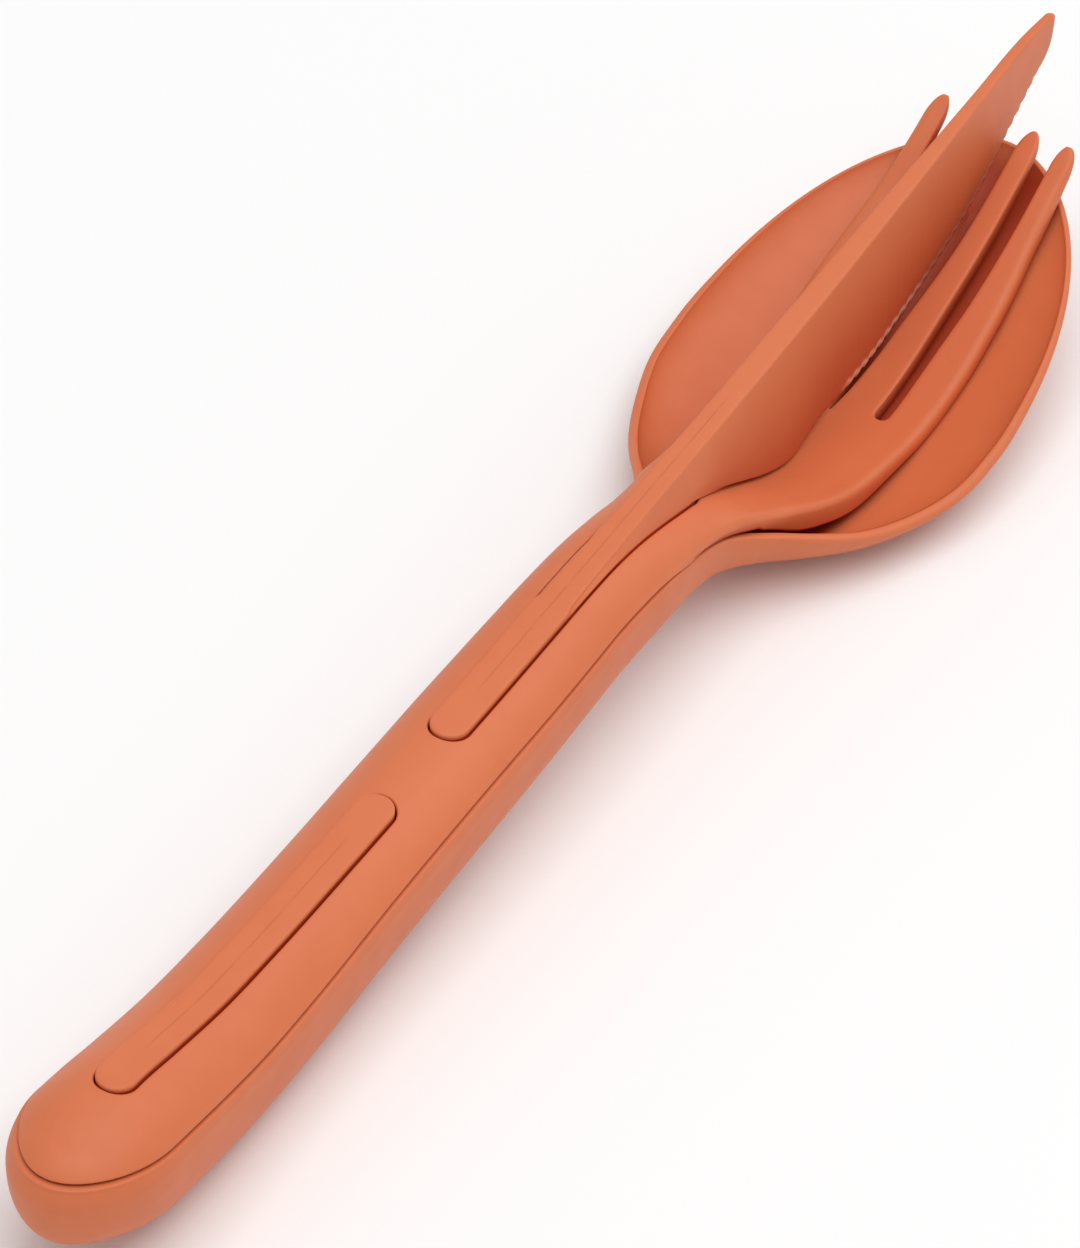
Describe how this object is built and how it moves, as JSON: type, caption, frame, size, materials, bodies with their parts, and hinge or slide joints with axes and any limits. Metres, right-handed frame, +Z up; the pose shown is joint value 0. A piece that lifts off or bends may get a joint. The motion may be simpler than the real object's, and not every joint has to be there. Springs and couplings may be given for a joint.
{
  "type": "nesting cutlery set",
  "caption": "Travel cutlery set of spoon, fork and knife in matt plastic, nested one on another, with the knife standing on edge between the tines.",
  "frame": {"origin": "middle of the set's length and width, on the plane it rests on", "axes": "+X across the set, +Y along it from the handle end to the tip of the knife, +Z up out of the bowl"},
  "size_m": [0.0414, 0.1955, 0.0284],
  "materials": {
    "spoon_plastic": "matt terracotta orange",
    "fork_plastic": "matt terracotta orange",
    "knife_plastic": "matt terracotta orange"
  },
  "bodies": {
    "root": {"spoon": "spoon_plastic", "fork": "fork_plastic", "knife": "knife_plastic"}
  },
  "joints": []
}
